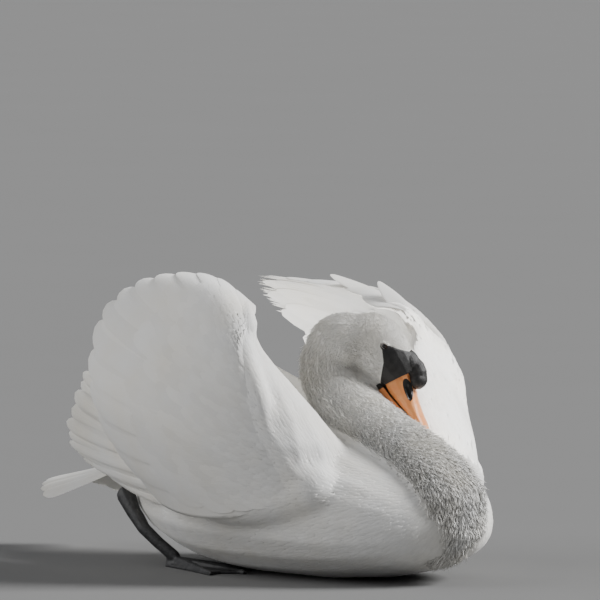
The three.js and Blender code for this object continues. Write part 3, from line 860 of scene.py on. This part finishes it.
quillLook = {
    "outline": quillOutline, "camber": 0.0004, "thick": 0.0004, "rise": 3, "count": 14, "start": 0.12,
    "Outer": (0.0034, 0.0012, 0.0017, 0.0009), "Inner": (-0.0034, -0.0026, 0.0006, 0.0005),
}
covertLook = {
    "outline": vaneOutline, "camber": 0.00012, "thick": 0.0001, "rise": 1, "counts": (40, 22),
    "tips": [0.1, 0.12, 0.14, 0.165, 0.2, 0.235, 0.275, 0.32, 0.37, 0.43, 0.5, 0.58, 0.665], "step": 0.0006,
    "front": 0.03, "fade": 0.14,
}
frayedLook = dict(quillLook, outline=tuftOutline, rise=1, count=44)
primaryLook = dict(quillLook, camber=0.0007, outline=fullOutline, count=11)
quill = bladeTemplate(14, 22)
covert = bladeTemplate(6, 8)
for name, wing in wings.items():
    title, sheet = name.title(), fans[name]
    for face, inner in (("Outer", 0), ("Inner", 1)):
        rows = []
        count, start = quillLook["count"], quillLook["start"]
        local = np.random.default_rng(41 + inner)
        low, high, tilt, lowerTilt = quillLook[face]
        for k in range(count):
            end = 1.0 - 0.006 * local.random()
            turned = tilt * (1 - 0.7 * smooth(0.7, 0.9, k / count))
            rows.append([(k + 0.5) / count, start, end, 0.6 / count, low, high, turned])
        for k in range(1, count):
            rows.append([k / count, start, 0.955, 0.5 / count, low * 1.25, high + 0.001, lowerTilt])
        if name == "left" and not inner:  # feathers that stand up from the far wing's top
            rows.append([0.84, 0.35, 1.0, 0.04, 0.009, -0.009, 0.009])
            rows.append([0.93, 0.2, 0.77, 0.04, 0.003, -0.009, 0.009])
        layOnSheet(f"quills{title}{face}", sheet, rows, quill, dict(quillLook, inner=inner), covertWhite, 31)

        # coverts in lapping rows, smallest at the front edge
        rows = []
        look = dict(covertLook, inner=inner, buried=True)
        most, least = look["counts"]
        for i, end in enumerate(look["tips"]):
            share = i / (len(look["tips"]) - 1)
            count = round(most + (least - most) * share)
            for k in range(count):
                v = (k + (0.75 if i % 2 else 0.25)) / count + local.normal(0, 0.1) / count
                if v > 0.9 or v < 0.035 or v > 0.8 and i % 2:
                    continue
                tip = end + local.normal(0, 0.007)
                long = (0.1 + 0.13 * share) * (1 + 1.2 * smooth(0.8, 0.95, v))
                deep = 0.0008 + 0.0009 * share + local.normal(0, 0.00003)
                start = max(tip - long, 0.025 + 0.01 * local.random())
                # the first rows rise out of the skin, the next ones from under them
                ramp = math.exp((look["front"] - start) / look["fade"])
                ramp = (skinUnder(sheet, look["front"], v, inner) + 0.0012) * ramp + 0.0013
                step = max(look["step"], ramp - deep)
                if inner:
                    deep, step = -deep, -step
                rows.append([v, start, tip, 0.78 / count, deep + step, deep, 0.0002])
        layOnSheet(f"coverts{title}{face}", sheet, rows, covert, look, covertWhite, 35)

    if name == "left":  # frayed ends
        rows = []
        for v in np.random.default_rng(44).uniform(0.4, 0.68, frayedLook["count"]):
            end = 0.99 + 0.03 * local.random()
            rows.append([v, end - 0.16, end, 0.006 + 0.006 * local.random(), 0.0015, 0.002, 0.0])
        layOnSheet("frayedEnds", sheet, rows, lock, frayedLook, vaneWhite, 34)

    rows = []
    count = primaryLook["count"]
    for k in range(count):
        low = k % 2  # every other one lies lower
        tip = 1.0 - 0.012 * low
        rows.append([(k + 0.5) / count, 0.02, tip, 0.062, 0.002 + 0.0022 * low, 0.001 + 0.0014 * low, 0.0012])
    piece = layOnSheet("primaries" + title, primaries[name], rows, quill, primaryLook, vaneWhite, 32)
    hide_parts(f"wing_{name}_primaries")


# tail: the CAD's bowed fan, read along u and across v
tailLook = dict(quillLook, camber=0.0012, droop=8, count=9)
tailCovertLook = dict(covertLook, thick=0.0003, rings=[
    (0.5, 0.006, -0.0004), (0.38, 0.0045, -0.001), (0.5, 0.006, 0.0066), (0.38, 0.0055, 0.0072),
])


def tailPlace(u, v):
    u, w = np.asarray(u, float), 2 * np.asarray(v, float) - 1
    angle = np.radians(21 * w)
    reach = 20 + 210 * u * (1 - 0.22 * np.abs(w) ** 1.6)
    x = np.sin(angle) * reach + 26 * w * (1 - u)
    droop = 12 * w * w * (0.4 + 0.6 * u) + tailLook["droop"] * np.abs(w) ** 1.6 * (0.25 + 0.75 * u)
    return np.stack([x, 268 + np.cos(angle) * reach, 75 + 60 - 47 * u - droop], -1) / 1000


def tailNormal(u, v):
    return np.broadcast_to([0.0, 0.12, 0.99], np.shape(u) + (3,))


rows, covers = [], []
count = tailLook["count"]
local = np.random.default_rng(11)
for k in range(2 * count - 1):
    v = (k + 1) / (2 * count)
    low = k % 2
    tilt = 0.0012 * (1 if v > 0.5 else -1)
    rows.append([v, 0.1, 1.0 - 0.04 * low, 0.066, 0.003 * (1 + low), 0.0012 + 0.0023 * low, tilt])
for reach, *deep in tailCovertLook["rings"]:
    for k in range(count):
        w = 0.8 * ((2 * k + 1 + 0.5 * (reach < 0.4)) / count - 1)
        end = reach * (1 - 0.25 * abs(w)) + 0.02 * local.random()
        covers.append([(1 + w) / 2, 0.14, end, 0.07, *deep, 0.0004])
sheet = (tailPlace, tailNormal)
tail = layOnSheet("tailFeathers", sheet, rows, quill, tailLook, vaneWhite, 33)
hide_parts("tail")
layOnSheet("tailCoverts", sheet, covers, covert, tailCovertLook, covertWhite, 36)


# bare black skin of the face and the knob
faceLook = {
    "black": (0.008, 0.0075, 0.007, 1), "grey": (0.028, 0.026, 0.025, 1), "grain": 1050, "roughness": 0.46,
    "voxel": 0.00075, "passes": 7, "over": 0.0003,
}


def pebbledMaterial(name, look):
    made, shader = newMaterial(name)
    place = objectPlace(made)
    cells = addNode(made, "TexVoronoi", {"feature": "F1"}, {"Vector": place, "Scale": look["grain"]})
    patchy = noiseOn(made, place, 130, 4)
    colour = mixColour(made, spread(made, patchy, 0, 1, 0.35, 0.75), look["black"], look["grey"])
    rough = spread(made, patchy, look["roughness"] - 0.06, look["roughness"] + 0.14)
    high = mathNode(made, "ADD", mathNode(made, "SUBTRACT", 1.0, cells["Distance"]), patchy)
    bump = bumpOn(made, 0.6, 0.0005, high)
    setInputs(made, shader, {"Base Color": colour, "Roughness": rough, "Normal": bump})
    return made


blackSkin = pebbledMaterial("black_skin", faceLook)
faceBm = copyOf(["face_mask", "knob"])
for v in faceBm.verts:
    v.co += v.normal * faceLook["over"]
addEllipsoid(faceBm, [0.0536, 0, 0.0152], (12.2, 13.2, 12.6))  # the knob's blunt end
addEllipsoid(faceBm, [0.029, 0, 0.0136], (20, 14.5, 15.4))  # the knob's neck
for side in (1, -1):
    eye = eyeAt(side)
    lid = bmesh.new()  # the black lid in front of the eye, open over the eyeball
    bmesh.ops.create_uvsphere(lid, u_segments=72, v_segments=44, radius=eyeLook["lid"])
    bmesh.ops.transform(lid, matrix=Matrix.Translation(Vector(fromHead(eye))) @ turnHead, verts=lid.verts)
    gone = []
    for v in lid.verts:
        q = toHead(np.array(v.co))
        f, l, g = q - eye
        if eyeEdge(q) < 1.0 or l * side < 0.001 or f < g * 0.4 - 0.0005:
            gone.append(v)
    bmesh.ops.delete(lid, geom=gone, context="VERTS")
    bmesh.ops.recalc_face_normals(lid, faces=lid.faces)
    bmesh.ops.solidify(lid, geom=lid.faces[:], thickness=0.0011)
    ring = bmesh.new()  # the thin rim all round
    bmesh.ops.create_circle(ring, segments=8, radius=eyeLook["rim"])
    for v in ring.verts:
        v.co = Vector((1 + v.co.x * 200, 0, v.co.y))
    bmesh.ops.spin(ring, geom=ring.verts[:] + ring.edges[:], cent=(0, 0, 0), axis=(0, 0, 1),
                   angle=math.tau, steps=44, use_merge=True)
    slant = math.radians(eyeLook["slant"])
    for v in ring.verts:
        x, y, z = v.co
        swell = 1 + (math.hypot(x, y) - 1) / 200 * 260
        turned = math.atan2(y, x)
        a, b = math.cos(turned) * eyeLook["long"] * swell, math.sin(turned) * eyeLook["high"] * swell
        x, y = a * math.cos(slant) - b * math.sin(slant), a * math.sin(slant) + b * math.cos(slant)
        out = math.sqrt(max(eyeLook["rimOut"] ** 2 - x * x - y * y, 1e-8)) + z
        v.co = Vector(fromHead(eye + [x, side * out, y]))
    bmesh.ops.recalc_face_normals(ring, faces=ring.faces)
    pourInto(faceBm, lid)
    pourInto(faceBm, ring)
faceMesh = remeshed(faceBm, "faceSkin", faceLook)
face = newObject("faceSkin", faceMesh, blackSkin)
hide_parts("face_mask", "knob")

# eyes
made, shader = newMaterial("eye_brown")
near = attribute(made, "iris")
streaks = noiseOn(made, objectPlace(made), 900)
iris = mixColour(made, streaks, (0.03, 0.014, 0.006, 1), (0.075, 0.034, 0.012, 1))
setInputs(made, shader, {
    "Base Color": mixColour(made, near, (0.003, 0.003, 0.003, 1), iris),
    "Roughness": spread(made, streaks, 0.05, 0.12), "Coat Weight": 1.0, "Coat Roughness": 0.03,
})
for name, side in (("eye_left", 1), ("eye_right", -1)):
    ball = bmesh.new()
    bmesh.ops.create_uvsphere(ball, u_segments=36, v_segments=22, radius=eyeLook["radius"])
    centre = fromHead(eyeAt(side, eyeLook["back"]))
    turnOut = Matrix((headAxes[0], headAxes[2], side * headAxes[1])).transposed().to_4x4()
    bmesh.ops.transform(ball, matrix=Matrix.Translation(Vector(centre)) @ turnOut, verts=ball.verts)
    bmesh.ops.recalc_face_normals(ball, faces=ball.faces)
    mesh = meshFrom(ball, name + "Ball")
    shadeSmooth(mesh)
    away = (readCo(mesh) - centre) @ headAxes.T
    setAttribute(mesh, "iris", smooth(0.0019, 0.0023, np.hypot(away[:, 0], away[:, 2])))
    obj = newObject(name + "Ball", mesh, made)
    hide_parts(name)


# bill
billLook = {
    "orange": (0.83, 0.27, 0.075, 1), "pale": (0.88, 0.38, 0.14, 1), "black": (0.012, 0.011, 0.01, 1),
    "roughness": 0.36, "nostril": [[0.046, 0.0048], [0.074, -0.0015]], "voxel": 0.0008, "passes": 4,
}
made, shader = newMaterial("bill_orange")
place = objectPlace(made)
dark = attribute(made, "dark")
mottle = noiseOn(made, place, 120, 4)
ragged = mathNode(made, "SUBTRACT", noiseOn(made, place, 500), 0.5)
ragged = mathNode(made, "ADD", dark, times(made, ragged, 0.5))
orange = mixColour(made, spread(made, mottle, 0, 1, 0.3, 0.7), billLook["orange"], billLook["pale"])
setInputs(made, shader, {
    "Base Color": mixColour(made, spread(made, ragged, 0, 1, 0.4, 0.6), orange, billLook["black"]),
    "Roughness": spread(made, mottle, billLook["roughness"] - 0.05, billLook["roughness"] + 0.1),
    "Normal": bumpOn(made, 0.35, 0.0004, noiseOn(made, place, 700, 4)),
})
upperEdge = np.array([
    [35, -27.5], [50, -25.5], [64, -22.5], [80, -18], [95, -13.5], [108, -9.8], [117, -7.8], [127, -9],
]) / 1000
lowerEdge = np.array([[36, -24], [56, -21], [78, -15], [98, -9.5], [110, -7], [119, -7]]) / 1000
for name in ("bill_upper", "bill_lower"):
    mesh = remeshed(copyOf([name]), name + "Horn", billLook)
    co, no = readShape(mesh)
    q = toHead(co)
    f, l, g = q.T
    if name == "bill_upper":
        # the nostril is a drop, broad behind its middle, with a low brim
        a, b = np.array(billLook["nostril"])
        along = np.clip(((q[:, [0, 2]] - a) @ (b - a)) / ((b - a) @ (b - a)), 0, 1)
        broad = 0.0038 * np.sqrt(np.clip(np.sin(np.pi * along**0.8), 0, 1)) + 0.0006
        away = np.linalg.norm(q[:, [0, 2]] - a - along[:, None] * (b - a), axis=1) / broad
        sides = smooth(0.004, 0.009, np.abs(l))
        hole = smooth(0.62, 0.2, away) * smooth(0.25, 0.4, along) * smooth(0.95, 0.8, along)
        brim = 0.0006 * smooth(0.7, 1.0, away) * smooth(1.7, 1.1, away)
        co = co - no * (0.003 * hole * sides - brim * sides)[:, None]
        band = np.interp(f, [0.035, 0.052, 0.07, 0.11], [0.0052, 0.0022, 0.0015, 0.001])
        edge = (g - np.interp(f, *upperEdge.T)) / band
        dark = np.maximum.reduce([
            smooth(1.15, 0.85, away) * sides, smooth(1.3, 0.9, edge),
            smooth(0.1165, 0.1185, f), smooth(0.0372, 0.0358, f),
        ])
        co = co + no * (0.0005 * smooth(0.116, 0.119, f))[:, None]
    else:
        edge = smooth(0.004, 0.002, np.interp(f, *lowerEdge.T) - g)
        dark = np.maximum.reduce([edge, smooth(0.046, 0.04, f), smooth(0.112, 0.115, f)])
    writeCo(mesh, co)
    setAttribute(mesh, "dark", dark)
    obj = newObject(name + "Horn", mesh, made)
    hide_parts(name)
print("head pieces done")

# legs and feet
legLook = {
    "black": (0.016, 0.016, 0.017, 1), "grey": (0.05, 0.05, 0.052, 1), "grain": 330, "roughness": 0.5,
    "voxel": 0.0016, "passes": 4,
}
blackScales = pebbledMaterial("black_scales", legLook)
clawLook = {"reach": (0.102, 0.128, 0.118), "spread": 21, "long": 0.01, "root": 0.0027, "point": 0.0004}
for name, wing in wings.items():
    side, title = wing["side"], name.title()
    mesh = remeshed(copyOf([f"leg_{name}", f"foot_{name}"]), "leg" + title, legLook)
    co = readCo(mesh)
    co[:, 2] = np.maximum(co[:, 2], 0.0001)
    writeCo(mesh, co)
    claws = bmesh.new()
    for bend, long in zip((-1, 0, 1), clawLook["reach"]):
        a = math.radians(clawLook["spread"] * bend)
        along = Vector((side * math.sin(a), -math.cos(a), -0.1)).normalized()
        tip = Vector((side * (0.098 + math.sin(a) * long), 0.142 - math.cos(a) * long, 0.0038))
        spot = Matrix.Translation(tip + along * 0.002) @ along.to_track_quat("Z", "Y").to_matrix().to_4x4()
        bmesh.ops.create_cone(claws, cap_ends=True, segments=12, radius1=clawLook["root"],
                              radius2=clawLook["point"], depth=clawLook["long"], matrix=spot)
    bmesh.ops.subdivide_edges(claws, edges=claws.edges, cuts=1)
    clawMesh = meshFrom(claws, "claws" + title)
    shadeSmooth(clawMesh)
    obj = newObject("claws" + title, clawMesh, blackScales)
    obj = newObject("leg" + title, mesh, blackScales)
    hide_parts(f"leg_{name}", f"foot_{name}")


# floor, light and camera
floorLook = {"bright": (0.165, 0.165, 0.164, 1), "dark": (0.158, 0.158, 0.156, 1), "size": 900}
made, shader = newMaterial("floor_grey")
speck = noiseOn(made, objectPlace(made), 3)
grey = mixColour(made, speck, floorLook["bright"], floorLook["dark"])
setInputs(made, shader, {"Base Color": grey, "Roughness": 0.85})
bm = bmesh.new()
bmesh.ops.create_grid(bm, x_segments=2, y_segments=2, size=floorLook["size"] / 2)
floor = newObject("floor", meshFrom(bm, "floor"), made, None)

centre = Vector((0.0053, 0.0208, 0.3461))
viewLine = Vector((0.6675, 0.7413, -0.0698)).normalized()
cameraLook = {"distance": 14.0, "lens": 655.0}
camera = newObject("camera", bpy.data.cameras.new("camera"), body=None)
camera.data.sensor_width = 36
camera.data.lens = cameraLook["lens"]
camera.data.clip_end = 900
camera.location = centre - viewLine * cameraLook["distance"]
camera.rotation_euler = viewLine.to_track_quat("-Z", "Y").to_euler()
bpy.context.scene.camera = camera

lightLook = {
    "key": (6.4, 25, (0.65, -0.5, 0.55)), "fill": (1.7, 60, (-0.75, 0.5, 0.55)),
    "far": (7.6, 60, (-0.5, -0.8, -0.1)), "world": 0.19, "worldColour": (0.93, 0.95, 1.0, 1),
}


def softSun(name, strength, wide, toward):
    lamp = bpy.data.lights.new(name, "SUN")
    lamp.energy = strength
    lamp.angle = math.radians(wide)
    obj = newObject(name, lamp, body=None)
    obj.rotation_euler = (-Vector(toward)).to_track_quat("-Z", "Y").to_euler()
    return obj


softSun("key", *lightLook["key"])
softSun("fill", *lightLook["fill"])
farLamp = softSun("far", *lightLook["far"])  # reaches only the far wing's hollow face, edge and shoulder
reached = bpy.data.collections.new("farWing")
for name in ("quillsLeftInner", "covertsLeftInner", "coatShoulderLeft", "coatEdgeLeft", "frayedEnds"):
    reached.objects.link(bpy.data.objects[name])
farLamp.light_linking.receiver_collection = reached
farLamp.light_linking.blocker_collection = reached
world = bpy.data.worlds.new("studio")
world.use_nodes = True
sky = world.node_tree.nodes["Background"]
sky.inputs[0].default_value = lightLook["worldColour"]
sky.inputs[1].default_value = lightLook["world"]
bpy.context.scene.world = world
